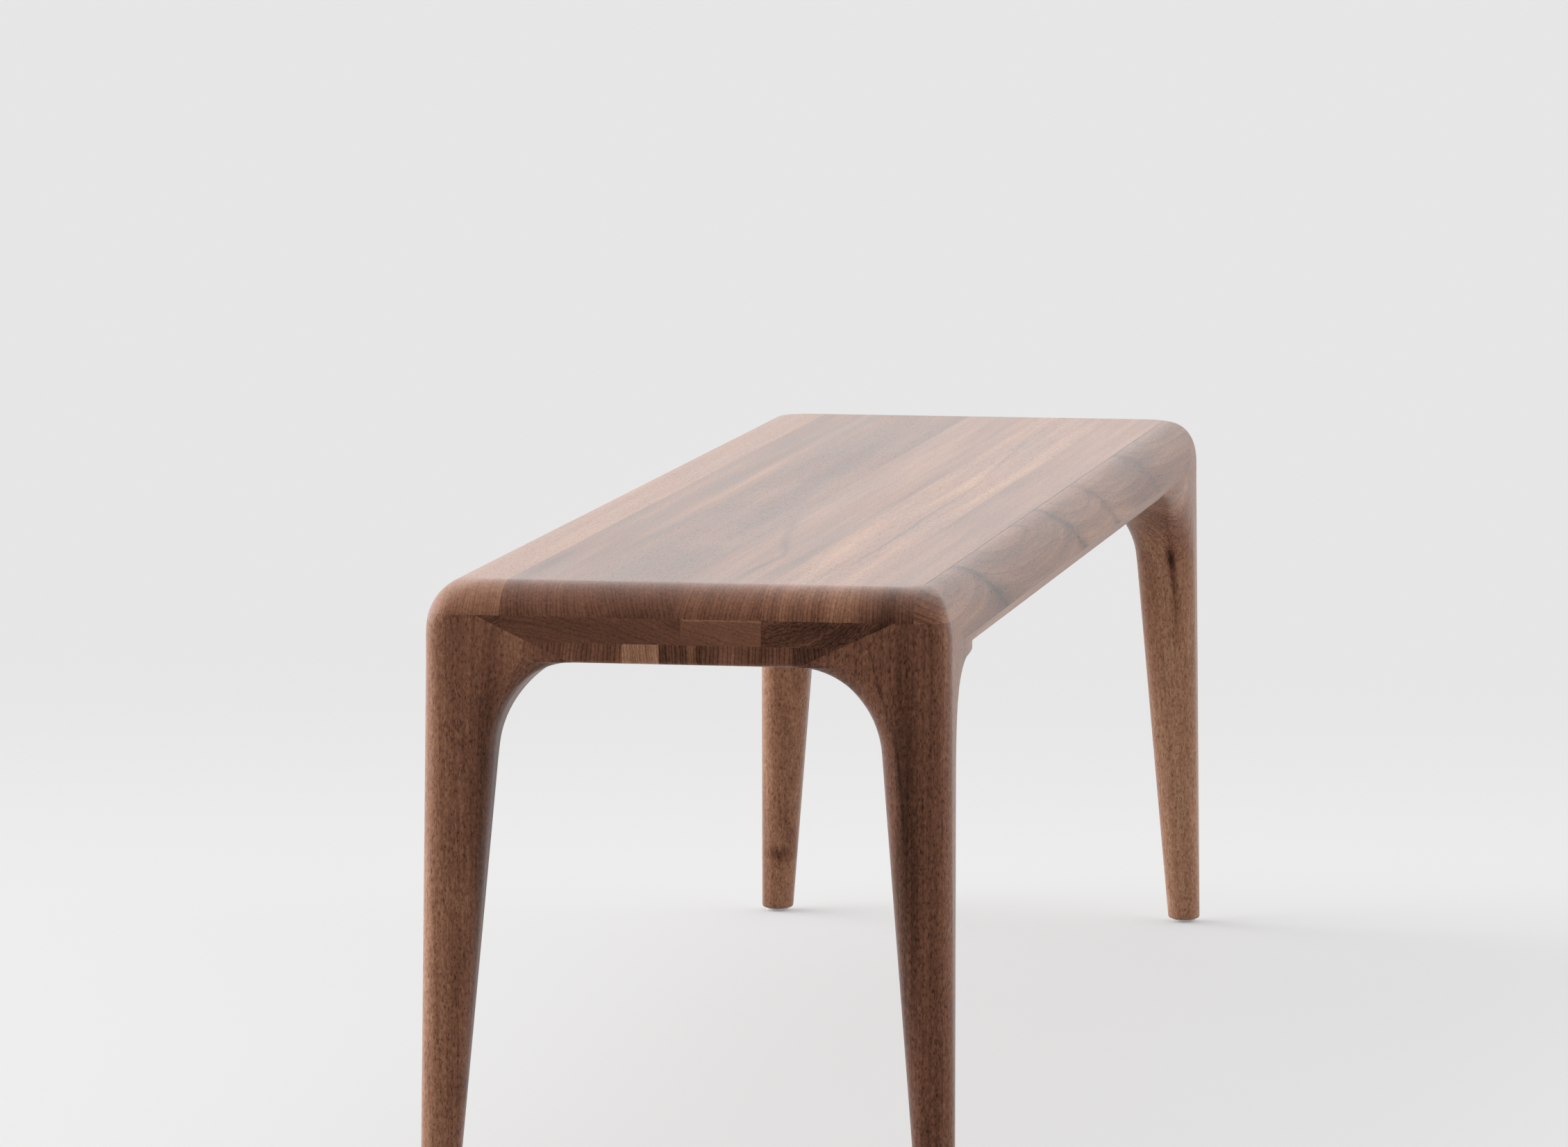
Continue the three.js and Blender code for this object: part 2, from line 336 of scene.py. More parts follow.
# The stations on a leg's outer faces, which the seat's outline shares.
SHARED = sum(ARC_STEPS[name] for name in ("end", "outer", "side"))
SHARED += EDGE_STEPS["end"] + EDGE_STEPS["outer"]
UNDERSIDE_RING = leg_outline(UNDERSIDE)


def soft_min(a, b, blend):
    """The lesser of two set-backs, blended where they are close."""
    k = np.maximum(np.minimum(blend, np.minimum(a, b)), 1e-9)
    h = np.maximum(k - np.abs(a - b), 0)
    return np.minimum(a, b) - h * h / (4 * k)


def quarter_ring(z):
    """The seat's outline in one corner, in u and v, from the middle of the end to the
    middle of the long side. Its stations SHARED match those of a leg at the underside."""
    shared = UNDERSIDE_RING[:SHARED + 1]
    side, end = eased_side_inset(z), end_inset(z)
    climbed = (z - CORE_BASE) / (HEIGHT - CORE_BASE)
    radius = CORNER + (CORNER_TOP - CORNER) * float(round_in(1, climbed))
    first_arc = ARC_STEPS["end"] + EDGE_STEPS["end"]
    corner = slice(first_arc, first_arc + ARC_STEPS["outer"] + 1)

    to_leg = np.linspace(HALF_W, shared[0, 1], END_STEPS + 1)[:-1]
    on_end = np.concatenate([to_leg, shared[:first_arc, 1]])
    leg_u = np.concatenate([np.full(END_STEPS, APRON_ROUND), shared[:first_arc, 0]])
    from_leg = np.linspace(shared[-1, 0], HALF_L, LONG_STEPS + 1)[1:]
    on_side = np.concatenate([shared[corner.stop:, 0], from_leg])
    leg_v = np.concatenate([shared[corner.stop:, 1], np.full(LONG_STEPS, UNDER_BEVEL)])

    if z < CORE_BASE + ARRIS_EASE:
        blend = 3 * MM * min(1, (z - UNDERSIDE) / (4 * MM))
        end_u = np.minimum(end, leg_u)
        side_v = soft_min(np.full_like(leg_v, side), leg_v, blend)
        outer = shared[corner]
    else:
        end_u, side_v = np.full_like(leg_u, end), np.full_like(leg_v, side)
        angles = np.linspace(math.pi / 2, 0, ARC_STEPS["outer"] + 1)
        outer = np.stack([
            end + radius * (1 - np.sin(angles)),
            side + radius * (1 - np.cos(angles)),
        ], axis=1)
        on_end = side + radius + (on_end - CORNER) / (HALF_W - CORNER) * (HALF_W - side - radius)
        on_side = end + radius + (on_side - CORNER) / (HALF_L - CORNER) * (HALF_L - end - radius)
    return np.concatenate([
        np.stack([end_u, on_end], axis=1),
        outer,
        np.stack([on_side, side_v], axis=1),
    ])


def seat_levels():
    apron = UNDERSIDE + APRON_ROUND * (1 - np.sin(np.linspace(math.pi / 2, 0, 7)))
    low = np.linspace(apron[-1], CORE_BASE - ARRIS_EASE, 6)[1:]
    ease = np.linspace(CORE_BASE - ARRIS_EASE, CORE_BASE + ARRIS_EASE, 5)[1:]
    climb = np.sin(np.linspace(0, math.pi / 2, 41))[1:]
    return np.concatenate([apron, low, ease, ease[-1] + (HEIGHT - ease[-1]) * climb])


def leg_levels():
    foot = FOOT_BASE + FOOT_ROUND * (1 - np.sin(np.linspace(math.pi / 2, 0, 8)))
    arch = UNDERSIDE - ARCH_LONG[1]
    straight = np.linspace(foot[-1], arch, 22)[1:]
    climb = np.sin(np.linspace(0, math.pi / 2, 31))[1:-1]
    return np.concatenate([foot, straight, arch + ARCH_LONG[1] * climb])


def to_place(signs, ring, z):
    return [(signs[0] * (HALF_L - u), signs[1] * (HALF_W - v), z) for u, v in ring]


def sculpted_form():
    """The whole bench as one closed surface, before it is cut into its pieces."""
    vertices, faces = [], []
    order = [(CORNERS["back_right"], False), (CORNERS["back_left"], True),
             (CORNERS["front_left"], False), (CORNERS["front_right"], True)]
    quarter = END_STEPS + SHARED + LONG_STEPS
    around = 4 * quarter

    levels = seat_levels()
    for z in levels:
        ring = quarter_ring(z)
        for signs, backwards in order:
            placed = to_place(signs, ring, z)
            vertices += placed[:0:-1] if backwards else placed[:-1]
    for level in range(len(levels) - 1):
        low = level * around
        for i in range(around):
            j = (i + 1) % around
            faces.append((low + i, low + j, low + around + j, low + around + i))
    top = (len(levels) - 1) * around
    faces.append(tuple(range(top, top + around)))

    # Legs hang from the first ring, and share its stations on their outer faces.
    underside = []
    for which, (signs, backwards) in enumerate(order):
        start = which * quarter

        def seat_index(k):
            return (start + (quarter - k if backwards else k)) % around

        top_loop = [seat_index(END_STEPS + k) for k in range(SHARED + 1)]
        inner_first = len(vertices)
        inner = to_place(signs, UNDERSIDE_RING[SHARED + 1:], UNDERSIDE)
        vertices += inner
        top_loop += range(inner_first, inner_first + len(inner))
        loops = []
        for z in leg_levels():
            loops.append(range(len(vertices), len(vertices) + LEG_STATIONS))
            vertices += to_place(signs, leg_ring(z), z)
        loops.append(top_loop)
        for low, high in zip(loops, loops[1:]):
            for i in range(LEG_STATIONS):
                j = (i + 1) % LEG_STATIONS
                faces.append((low[i], low[j], high[j], high[i]))
        faces.append(tuple(loops[0]))

        along_end = [seat_index(k) for k in range(END_STEPS + 1)]
        inside = list(reversed(top_loop[SHARED + 1:]))
        along_side = [seat_index(k) for k in range(END_STEPS + SHARED, quarter + 1)]
        path = along_end + inside + along_side
        underside += path[:0:-1] if backwards else path[:-1]

    flat = [Vector(vertices[i]) for i in underside]
    triangles = mathutils.geometry.tessellate_polygon([flat])
    faces += [tuple(underside[i] for i in triangle) for triangle in triangles]
    form = new_object("sculpted_form", vertices, faces)
    fix_normals(form)
    return form


# ---- Smooth shading across the joints ---------------------------------------------------

SMOOTH_LIMIT = math.cos(math.radians(40))
ON_FORM = 0.1 * MM                    # a face this close to the form is part of its outside
SAME_WAY = 0.7                        # and faces as it does, by the cosine between the two
INWARD = 0.02                         # how far towards its face's middle a corner looks


class FormShading:
    """Normals of the uncut form. Every piece takes them, so the light runs over a glued
    joint without a break."""

    def __init__(self, form):
        mesh = form.data
        self.points = [v.co.copy() for v in mesh.vertices]
        self.faces = [tuple(p.vertices) for p in mesh.polygons]
        self.flat = [p.normal.copy() for p in mesh.polygons]
        self.tree = BVHTree.FromPolygons(self.points, self.faces)
        around = [[] for _ in self.points]
        for polygon in mesh.polygons:
            weighted = polygon.normal * polygon.area
            for vertex in polygon.vertices:
                around[vertex].append((polygon.normal.copy(), weighted))
        self.corners = []
        for index, face in enumerate(self.faces):
            normals = []
            for vertex in face:
                total = Vector((0, 0, 0))
                for normal, weighted in around[vertex]:
                    if normal.dot(self.flat[index]) > SMOOTH_LIMIT:
                        total += weighted
                normals.append(total.normalized())
            self.corners.append(normals)

    def normal(self, point):
        place, _, index, _ = self.tree.find_nearest(point)
        face = self.faces[index]
        if len(face) != 4:
            return self.flat[index]
        weights = mathutils.interpolate.poly_3d_calc([self.points[v] for v in face], place)
        total = Vector((0, 0, 0))
        for weight, normal in zip(weights, self.corners[index]):
            total += weight * normal
        return total.normalized()

    def apply(self, obj):
        mesh = obj.data
        normals = [Vector((0, 0, 1))] * len(mesh.loops)
        for polygon in mesh.polygons:
            centre = polygon.center
            _, normal, _, distance = self.tree.find_nearest(centre)
            outside = distance < ON_FORM and normal.dot(polygon.normal) > SAME_WAY
            for loop in polygon.loop_indices:
                normals[loop] = polygon.normal.copy()
                if outside:
                    corner = mesh.vertices[mesh.loops[loop].vertex_index].co
                    normals[loop] = self.normal(corner.lerp(centre, INWARD))
        mesh.shade_smooth()
        mesh.normals_split_custom_set(normals)


# ---- Pieces of wood ---------------------------------------------------------------------

DOWEL_BORE, DOWEL_ROOM = mm(5.15, 0.5)
POCKET_RADIUS, POCKET_TOP = mm(8.5, 12)
INSERT_BORE, INSERT_BORE_TOP = mm(5.1, 27.5)
STUD_BORE, STUD_BORE_TOP = mm(3.9, 38)
SKIN = 0.02 * MM                      # a leg stops this far below the flat underside
OVER = 5 * MM                         # how far a cutter runs past what it cuts
POCKET_EDGE = 0.8 * MM                # the broken edge of the counterbore


def leg_space(signs, below_seat):
    """The space that holds a leg: all below the seat, and a head with two sloped shoulders."""
    clear, reach = mm(20, 200)

    def across(distance, half, sign):
        return sign * (half - distance)

    def slope(name, shoulder, half, sign, other_half, other_sign, axes):
        outline = [
            (across(-clear, half, sign), -clear),
            (across(reach, half, sign), -clear),
            (across(reach, half, sign), below_seat),
            (across(shoulder, half, sign), below_seat),
            (across(SHOULDER_FLAT, half, sign), TOP_BASE),
            (across(-clear, half, sign), TOP_BASE),
        ]
        ends = sorted(across(d, other_half, other_sign) for d in (-clear, reach))
        return prism(name, outline, *ends, axes)

    space = slope("leg_space", SHOULDER_LONG, HALF_L, signs[0], HALF_W, signs[1], (0, 2, 1))
    second = slope("leg_space_v", SHOULDER_END, HALF_W, signs[1], HALF_L, signs[0], (1, 2, 0))
    carve(space, second, "INTERSECT")
    remove_object(second)
    return space


def foot_bore(name, centre):
    """A counterbore with a broken edge, the insert's bore and clearance for the stud."""
    profile = [
        (0, -OVER),
        (POCKET_RADIUS + POCKET_EDGE, -OVER),
        (POCKET_RADIUS + POCKET_EDGE, FOOT_BASE),
        (POCKET_RADIUS, FOOT_BASE + POCKET_EDGE),
        (POCKET_RADIUS, POCKET_TOP),
        (INSERT_BORE, POCKET_TOP),
        (INSERT_BORE, INSERT_BORE_TOP),
        (STUD_BORE, INSERT_BORE_TOP),
        (STUD_BORE, STUD_BORE_TOP),
        (0, STUD_BORE_TOP + 1 * MM),
    ]
    return lathe(name, profile, 64, centre)


def dowel_nodes():
    return [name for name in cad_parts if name.startswith("dowel_")]


def cut_all(obj, cutters, operation="DIFFERENCE"):
    for cutter in cutters:
        carve(obj, cutter, operation)
        remove_object(cutter)


def dowel_bores(nodes):
    for node in nodes:
        low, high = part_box(node)
        base, top = low[2] - DOWEL_ROOM, high[2] + DOWEL_ROOM
        profile = [(0, base), (DOWEL_BORE, base), (DOWEL_BORE, top), (0, top)]
        yield lathe("bore", profile, 48, node_centre(node))


def stave(wood, node):
    """One stave, cut from the form between the lines and heights of its CAD node."""
    low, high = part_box(node)
    edge = HALF_W - 2 * MM
    y = [low[1] - OVER if low[1] < -edge else low[1], high[1] + OVER if high[1] > edge else high[1]]
    z = [low[2] - (OVER if low[2] <= UNDERSIDE else 0), high[2] + (OVER if high[2] >= HEIGHT else 0)]
    piece = copy_object(wood, f"wood_{node}")
    far = HALF_L + OVER
    outline = [(-far, y[0]), (far, y[0]), (far, y[1]), (-far, y[1])]
    cut_all(piece, [prism("cutter", outline, *z, (0, 1, 2))], "INTERSECT")
    return piece


def wooden_pieces():
    """Every stave and leg, as {node: piece}, cut from one sculpted form."""
    form = sculpted_form()
    shading = FormShading(form)
    seat_wood = copy_object(form, "seat_wood")
    cut_all(seat_wood, dowel_bores(dowel_nodes()))
    recessed = copy_object(seat_wood, "recessed_wood")
    cut_all(recessed, [leg_space(signs, UNDERSIDE) for signs in CORNERS.values()])

    pieces = {}
    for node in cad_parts:
        if "_stave" in node:
            pieces[node] = stave(seat_wood if node.startswith("top_") else recessed, node)
    for corner, signs in CORNERS.items():
        leg = copy_object(form, f"wood_leg_{corner}")
        cut_all(leg, [leg_space(signs, UNDERSIDE - SKIN)], "INTERSECT")
        near = [node for node in dowel_nodes() if node.endswith(corner)]
        cut_all(leg, dowel_bores(near))
        cut_all(leg, [foot_bore("foot_bore", foot_centre(corner))])
        pieces[f"leg_{corner}"] = leg
    for piece in pieces.values():
        shading.apply(piece)
    for spent in (form, seat_wood, recessed):
        remove_object(spent)
    return pieces


# ---- Hardware ---------------------------------------------------------------------------

def arc(centre_r, centre_z, radius, start, stop, steps):
    """Points of a round in a lathe profile, as radius and height; angles in degrees."""
    angles = [math.radians(lerp(start, stop, i / steps)) for i in range(steps + 1)]
    return [(centre_r + radius * math.cos(a), centre_z + radius * math.sin(a)) for a in angles]


def glide_pad(corner):
    """A moulded pad: a rounded disc with a wear ring below and a hub that holds the stud."""
    low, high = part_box(f"glide_pad_{corner}")
    radius, top = (high[0] - low[0]) / 2, high[2]
    edge, disc_top, hub = mm(0.9, 2.8, 7)
    socket, neck = mm(4.15, 3.0)
    socket_low, socket_high = mm(1.2, 4.0)
    profile = [(0, 0.25 * MM), (3.4 * MM, 0.25 * MM), (3.8 * MM, 0)]
    profile += arc(radius - edge, edge, edge, -90, 0, 7)
    profile += arc(radius - edge, disc_top - edge, edge, 0, 90, 7)
    profile += arc(hub + 1.2 * MM, disc_top + 1.2 * MM, 1.2 * MM, 270, 180, 6)[1:]
    profile += arc(hub - 0.6 * MM, top - 0.6 * MM, 0.6 * MM, 0, 90, 5)
    profile += [(neck + 0.4 * MM, top), (neck, top - 0.4 * MM), (neck, socket_high)]
    profile += [(socket, socket_high - 0.1 * MM), (socket, socket_low), (0, socket_low)]
    pad = lathe(f"moulded_pad_{corner}", profile, 96, foot_centre(corner))
    smooth_by_angle(pad, 35)
    return pad


def glide_stud(corner):
    """A stud with a rolled M6 thread, a domed head in the pad and a hexagon to turn it."""
    centre = foot_centre(corner)
    low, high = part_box(f"glide_stud_{corner}")
    pitch, crest, root, steps = 1.0 * MM, 2.95 * MM, 2.45 * MM, 48
    thread_low, thread_high = 10.6 * MM, high[2] - 0.8 * MM

    def threaded(radius, z, angle):
        if radius != crest:
            return radius
        turn = (z / pitch - angle / (2 * math.pi)) % 1
        fade = min(1, (z - thread_low) / pitch, (thread_high - z) / pitch)
        return crest - (crest - root) * abs(2 * turn - 1) * max(0, fade) ** 0.5

    head_top = 3.8 * MM
    profile = [(0, low[2])] + arc(3.2 * MM, low[2] + 0.8 * MM, 0.8 * MM, -90, 0, 4)
    profile += arc(3.2 * MM, head_top - 0.8 * MM, 0.8 * MM, 0, 60, 4)
    profile += [(2.4 * MM, head_top + 0.3 * MM), (2.4 * MM, 10 * MM), (crest - 0.3 * MM, 10.3 * MM)]
    levels = int((thread_high - thread_low) / pitch * 8)
    profile += [(crest, lerp(thread_low, thread_high, i / levels)) for i in range(levels + 1)]
    profile += [(2.0 * MM, high[2]), (0, high[2])]
    stud = lathe(f"threaded_stud_{corner}", profile, steps, centre, threaded)

    nut_low, nut_high = mm(6.6, 10)
    across_corners, chamfer = mm(5.4, 0.5)

    def hexagonal(radius, _, angle):
        flat = across_corners * math.cos(math.pi / 6)
        turned = (angle + math.pi / 6) % (math.pi / 3) - math.pi / 6
        return min(radius, flat / math.cos(turned))

    rounded = across_corners * 0.88
    nut_profile = [(0, nut_low), (rounded, nut_low), (across_corners, nut_low + chamfer),
                   (across_corners, nut_high - chamfer), (rounded, nut_high), (0, nut_high)]
    cut_all(stud, [lathe("nut", nut_profile, 96, centre, hexagonal)], "UNION")
    smooth_by_angle(stud, 32)
    return stud


def threaded_insert(corner):
    """A brass insert with a diamond knurl in two bands and a chamfered bore."""
    low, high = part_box(f"insert_{corner}")
    outer, bore_radius = (high[0] - low[0]) / 2, 3 * MM
    teeth, depth, groove = 40, 0.25 * MM, 0.7 * MM
    middle, half_gap = (low[2] + high[2]) / 2, 1.2 * MM

    def knurled(radius, z, angle):
        if radius < outer:
            return radius
        wave = math.cos(teeth * angle) * math.cos(2 * math.pi * (z - low[2]) / (1.5 * MM))
        return radius - depth * (0.5 - 0.5 * wave)

    def band(start, stop):
        rows = 16
        return [(outer, lerp(start, stop, i / rows)) for i in range(rows + 1)]

    neck = outer - groove
    profile = [(bore_radius + 0.5 * MM, low[2]), (outer - 0.5 * MM, low[2])]
    profile += band(low[2] + 0.5 * MM, middle - half_gap)
    profile += [(neck, middle - half_gap + 0.4 * MM), (neck, middle + half_gap - 0.4 * MM)]
    profile += band(middle + half_gap, high[2] - 0.5 * MM)
    profile += [(outer - 0.5 * MM, high[2]), (bore_radius + 0.5 * MM, high[2])]
    profile += [(bore_radius, high[2] - 0.5 * MM), (bore_radius, low[2] + 0.5 * MM)]
    insert = lathe(f"knurled_insert_{corner}", profile, 160, foot_centre(corner), knurled)
    smooth_by_angle(insert, 32)
    return insert


def fluted_dowel(node):
    """A dowel with glue flutes along it and chamfered ends."""
    low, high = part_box(node)
    radius, flutes, depth, chamfer = (high[0] - low[0]) / 2, 16, 0.35 * MM, 1.2 * MM

    def fluted(r, _, angle):
        return r if r < radius * 0.9 else r - depth * (0.5 - 0.5 * math.cos(flutes * angle)) ** 3

    tip = radius - chamfer
    profile = [(0, low[2]), (tip, low[2]), (radius, low[2] + chamfer)]
    profile += [(radius, high[2] - chamfer), (tip, high[2]), (0, high[2])]
    dowel = lathe(f"fluted_{node}", profile, 128, node_centre(node), fluted)
    smooth_by_angle(dowel, 40)
    return dowel


# ---- Shader graphs ----------------------------------------------------------------------

class Graph:
    """Adds nodes to a tree and joins them. Any value may be a number or a socket."""

    def __init__(self, tree):
        self.tree = tree

    def node(self, kind, *values, **settings):
        """A new node with its settings, and its first inputs fed in order."""
        made = self.tree.nodes.new(kind)
        for name, value in settings.items():
            setattr(made, name, value)
        for socket, value in zip(made.inputs, values):
            self.feed(socket, value)
        return made

    def feed(self, socket, value):
        if isinstance(value, bpy.types.NodeSocket):
            self.tree.links.new(value, socket)
        else:
            socket.default_value = value

    def feed_all(self, node, **values):
        for name, value in values.items():
            self.feed(node.inputs[name.replace("_", " ")], value)

    def math(self, operation, *values):
        return self.node("ShaderNodeMath", *values, operation=operation).outputs[0]

    def total(self, *terms):
        result = terms[0]
        for term in terms[1:]:
            result = self.math("ADD", result, term)
        return result

    def minus(self, a, b):
        return self.math("SUBTRACT", a, b)

    def product(self, a, b):
        return self.math("MULTIPLY", a, b)

    def distance(self, a, b):
        return self.math("SQRT", self.total(self.product(a, a), self.product(b, b)))

    def about(self, value, strength):
        """A 0 to 1 field as a swing about nothing."""
        return self.product(self.minus(value, 0.5), strength)

    def vector(self, operation, *values):
        made = self.node("ShaderNodeVectorMath", *values, operation=operation)
        return made.outputs["Value" if operation == "DOT_PRODUCT" else "Vector"]

    def times(self, vector, factor):
        made = self.node("ShaderNodeVectorMath", vector, operation="SCALE")
        self.feed_all(made, Scale=factor)
        return made.outputs["Vector"]

    def noise(self, place, detail=2.0, roughness=0.5, colour=False):
        made = self.node("ShaderNodeTexNoise", place)
        self.feed_all(made, Scale=1.0, Detail=detail, Roughness=roughness)
        return made.outputs["Color" if colour else "Fac"]

    def stretched(self, place, x, y, z):
        return self.vector("MULTIPLY", place, (x, y, z))

    def fade(self, value, start, stop, low=0.0, high=1.0):
        """Rises smoothly from low to high as value goes from start to stop."""
        limits = (value, start, stop, low, high)
        return self.node("ShaderNodeMapRange", *limits, interpolation_type="SMOOTHSTEP").outputs[0]

    def split(self, vector):
        return self.node("ShaderNodeSeparateXYZ", vector).outputs

    def join(self, x, y, z):
        return self.node("ShaderNodeCombineXYZ", x, y, z).outputs[0]

    def ramp(self, value, stops):
        made = self.node("ShaderNodeValToRGB", value)
        elements = made.color_ramp.elements
        while len(elements) < len(stops):
            elements.new(0.5)
        for element, (place, colour) in zip(elements, stops):
            element.position = place
            element.color = (*colour, 1)
        return made.outputs[0]

    def bell(self, distance, width):
        """1 at no distance, falling to 0 over the width."""
        share = self.math("DIVIDE", distance, width)
        return self.math("EXPONENT", self.product(self.product(share, share), -1.0))


WALNUT = [
    (0.00, (0.016, 0.0072, 0.0048)),
    (0.22, (0.066, 0.0280, 0.0172)),
    (0.45, (0.155, 0.0680, 0.0410)),
    (0.68, (0.280, 0.1420, 0.0850)),
    (1.00, (0.500, 0.3150, 0.2000)),
]


def walnut_group():
    """Solid walnut as a node group. Place is in metres with the grain along its X, so a cut
    in any direction shows the right figure: rings round a pith line, pores as dashes along
    the grain and as dots on an end, and an end face darker than a long one."""
    tree = bpy.data.node_groups.new("walnut", "ShaderNodeTree")
    for way, kind, names in [
        ("INPUT", "Vector", ("Place", "Shift", "Pith")),
        ("INPUT", "Float", ("Facing End", "Ring", "Wander", "Tone", "Contrast")),
        ("INPUT", "Float", ("Curl", "Speckle", "Push", "Stain")),
        ("OUTPUT", "Color", ("Color",)),
        ("OUTPUT", "Float", ("Roughness", "Height")),
    ]:
        for name in names:
            tree.interface.new_socket(name, in_out=way, socket_type=f"NodeSocket{kind}")
    g = Graph(tree)
    given = g.node("NodeGroupInput").outputs
    place = given["Place"]
    shifted = g.vector("ADD", place, given["Shift"])

    # The rings wander slowly, ripple a little, and curl where the piece is curly.
    half = (0.5, 0.5, 0.5)
    slow = g.vector("SUBTRACT", g.noise(g.stretched(shifted, 1.3, 8, 8), 2, colour=True), half)
    quick = g.vector("SUBTRACT", g.noise(g.stretched(shifted, 7, 42, 42), 2, colour=True), half)
    curly = g.vector("SUBTRACT", g.noise(g.stretched(shifted, 75, 170, 170), 2, colour=True), half)
    bent = g.vector("ADD", place, g.times(slow, g.product(given["Wander"], 2.0)))
    bent = g.vector("ADD", bent, g.times(quick, g.product(given["Wander"], 0.35)))
    bent = g.vector("ADD", bent, g.times(curly, given["Curl"]))
    _, across, up = g.split(g.vector("SUBTRACT", bent, given["Pith"]))
    radius = g.total(g.distance(across, up), given["Push"])

    # Rings of uneven width, each with its own tone and a thin dark line at its end.
    phase = g.math("DIVIDE", radius, given["Ring"])
    uneven = g.noise(g.join(g.product(phase, 0.31), 0.0, 0.0), 2)
    phase = g.total(phase, g.product(uneven, 3.0))
    within = g.math("FRACT", phase)
    line = g.product(g.fade(within, 0.45, 0.93), g.fade(within, 0.93, 1.0, 1.0, 0.0))
    facing_end = given["Facing End"]
    line = g.product(line, g.total(0.5, g.product(facing_end, 1.3)))
    per_ring = g.noise(g.join(g.product(g.math("FLOOR", phase), 3.7), 0.0, 0.0), 0)

    # Broad heartwood streaks follow the rings and fade along the grain.
    along_grain, _, _ = g.split(shifted)
    streak = g.noise(g.join(g.product(phase, 0.17), g.product(along_grain, 1.6), 0.0), 3)
    cloud = g.noise(g.stretched(shifted, 3.2, 24, 24), 3)
    fibre = g.noise(g.stretched(shifted, 40, 1400, 1400), 2)
    thread = g.noise(g.stretched(bent, 8, 380, 380), 2)
    pore = g.fade(g.noise(g.stretched(shifted, 330, 950, 950), 1), 0.54, 0.70)
    mottle = g.noise(g.stretched(shifted, 230, 430, 430), 3, 0.65)

    contrast = given["Contrast"]
    figure = g.total(
        g.about(streak, 0.56), g.about(cloud, 0.46), g.about(per_ring, 0.14), g.about(thread, 0.20),
        g.product(line, -0.11),
    )
    speckle = g.total(g.about(mottle, 0.34), g.product(pore, -0.12))
    tone = g.total(
        0.5, given["Tone"],
        g.product(figure, contrast),
        g.about(fibre, 0.14),
        g.product(speckle, given["Speckle"]),
        g.product(facing_end, -0.10),
        # Stain darkens, or lightens where negative; on the two near legs it also paints highlight down
        # their outer edges.
        g.product(given["Stain"], -1.0),
    )
    colour = g.ramp(g.math("MAXIMUM", tone, 0.0), WALNUT)
    roughness = g.total(0.40, g.product(pore, 0.08), g.about(cloud, 0.10), g.about(fibre, 0.06))
    height = g.total(
        g.product(pore, -0.7), g.product(line, -0.25), g.about(fibre, 0.5), g.about(thread, 0.4),
    )
    g.node("NodeGroupOutput", colour, roughness, height)
    return tree


def surface(name, build):
    """A material whose Principled shader is set by build(graph, shader)."""
    material = bpy.data.materials.new(name)
    material.use_nodes = True
    material.node_tree.nodes.clear()
    g = Graph(material.node_tree)
    shader = g.node("ShaderNodeBsdfPrincipled")
    output = g.node("ShaderNodeOutputMaterial")
    g.tree.links.new(shader.outputs[0], output.inputs["Surface"])
    build(g, shader)
    return material


def bump(g, shader, height, distance, strength=1.0):
    made = g.node("ShaderNodeBump")
    g.feed_all(made, Height=height, Distance=distance, Strength=strength)
    g.feed_all(shader, Normal=made.outputs[0])
